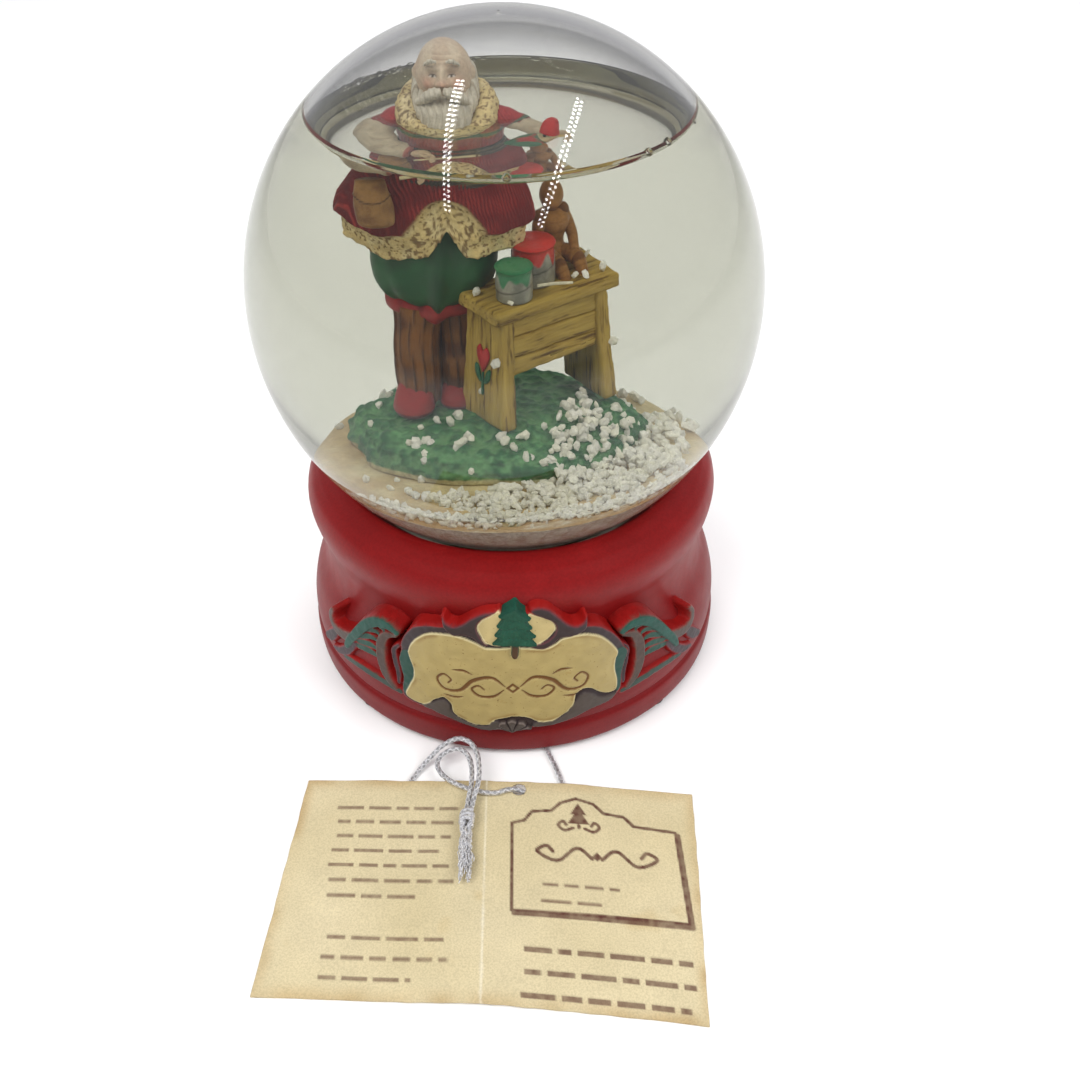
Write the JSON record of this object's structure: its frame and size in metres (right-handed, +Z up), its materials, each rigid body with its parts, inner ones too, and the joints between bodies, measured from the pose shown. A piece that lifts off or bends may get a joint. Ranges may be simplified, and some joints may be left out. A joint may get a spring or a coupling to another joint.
{
  "type": "snow globe",
  "caption": "Water-filled glass snow globe with a moulded workshop scene, on a turned resin base that holds a wind-up musical movement, with a hang tag.",
  "frame": {"origin": "middle of the resting plane under the foot pads, on the globe's axis", "axes": "+Z up along the globe's axis, -Y towards the decorated front, +X to the right seen from the front"},
  "size_m": [0.0998, 0.1591, 0.1333],
  "materials": {
    "red_resin": "satin red painted resin",
    "plate_cream": "antiqued cream paint",
    "tree_green": "dark green paint",
    "scroll_green": "dark green and brown paint",
    "shell_brown": "slate brown paint",
    "plate_steel": "brushed",
    "screw_steel": "bright",
    "pad_rubber": "matt",
    "globe_glass": "clear polished",
    "plug_rubber": "matt",
    "adhesive": "clear set adhesive",
    "water": "clear tinted water",
    "snow": "opaque white chips",
    "plinth_beige": "matt",
    "mound_green": "textured paint",
    "red_paint": "antiqued paint",
    "boot_brown": "antiqued paint",
    "green_paint": "satin paint",
    "fur_cream": "stippled paint",
    "belt_dark": "satin paint",
    "pouch_tan": "satin paint",
    "face_skin": "satin paint",
    "beard_white": "antiqued paint",
    "sleeve_cream": "antiqued paint",
    "brush_wood": "paint",
    "toy_paint": "satin paint",
    "bench_wood": "antiqued paint",
    "can_tin": "satin paint",
    "doll_tan": "satin paint",
    "frame_steel": "brushed",
    "comb_steel": "ground",
    "brass": "machined",
    "fan_alloy": "bright",
    "tag_paper": "antiqued card",
    "cord_silver": "metallic elastic"
  },
  "bodies": {
    "globe": {"base_shell": "red_resin", "relief_plate": "plate_cream", "fir_tree": "tree_green", "scroll_left": "scroll_green", "scroll_right": "scroll_green", "shell_ornament": "shell_brown", "bottom_plate": "plate_steel", "plate_screw_1": "screw_steel", "plate_screw_2": "screw_steel", "plate_screw_3": "screw_steel", "foot_pad_1": "pad_rubber", "foot_pad_2": "pad_rubber", "foot_pad_3": "pad_rubber", "foot_pad_4": "pad_rubber", "glass_globe": "globe_glass", "rubber_plug": "plug_rubber", "seal_ring": "adhesive", "water_fill": "water", "snow_bed": "snow", "floor_plinth": "plinth_beige", "mound": "mound_green", "shoe_left": "red_paint", "shoe_right": "red_paint", "coat_skirt": "red_paint", "torso": "red_paint", "boot_left": "boot_brown", "boot_right": "boot_brown", "breeches": "green_paint", "fur_hem": "fur_cream", "fur_collar": "fur_cream", "belt": "belt_dark", "pouch": "pouch_tan", "head": "face_skin", "beard": "beard_white", "arm_left": "sleeve_cream", "arm_right": "sleeve_cream", "paint_brush": "brush_wood", "toy_bird": "toy_paint", "bench_top": "bench_wood", "bench_end_near": "bench_wood", "bench_end_far": "bench_wood", "bench_apron": "bench_wood", "red_can": "can_tin", "green_can": "can_tin", "lay_figure": "doll_tan", "movement_frame": "frame_steel", "tone_comb": "comb_steel", "governor_frame": "brass", "hang_tag": "tag_paper", "tag_cord": "cord_silver", "tag_cord_return": "cord_silver", "cord_knot": "cord_silver"},
    "drive": {"spring_barrel": "brass", "mainspring": "comb_steel", "winding_arbor": "frame_steel", "winding_key": "brass"},
    "cylinder": {"cylinder_shaft": "frame_steel", "music_cylinder": "brass"},
    "governor": {"governor_wheel": "brass"},
    "fan": {"governor_fan": "fan_alloy"}
  },
  "joints": [
    {"name": "key_turn", "type": "hinge", "parent": "globe", "child": "drive", "pos_m": [0, 0, 0.02], "axis": [0, 0, 1], "continuous": true},
    {"name": "cylinder_turn", "type": "hinge", "parent": "globe", "child": "cylinder", "pos_m": [-0.02, 0, 0.02538], "axis": [1, 0, 0], "continuous": true},
    {"name": "governor_turn", "type": "hinge", "parent": "globe", "child": "governor", "pos_m": [-0.032, 0.00667, 0.02538], "axis": [1, 0, 0], "continuous": true},
    {"name": "fan_turn", "type": "hinge", "parent": "globe", "child": "fan", "pos_m": [-0.0332, 0.01197, 0.02538], "axis": [0, 0, 1], "continuous": true}
  ],
  "couplings": [
    {"joint": "cylinder_turn", "follows": "key_turn", "ratio": -2.5},
    {"joint": "governor_turn", "follows": "key_turn", "ratio": 7.5},
    {"joint": "fan_turn", "follows": "key_turn", "ratio": -120}
  ]
}
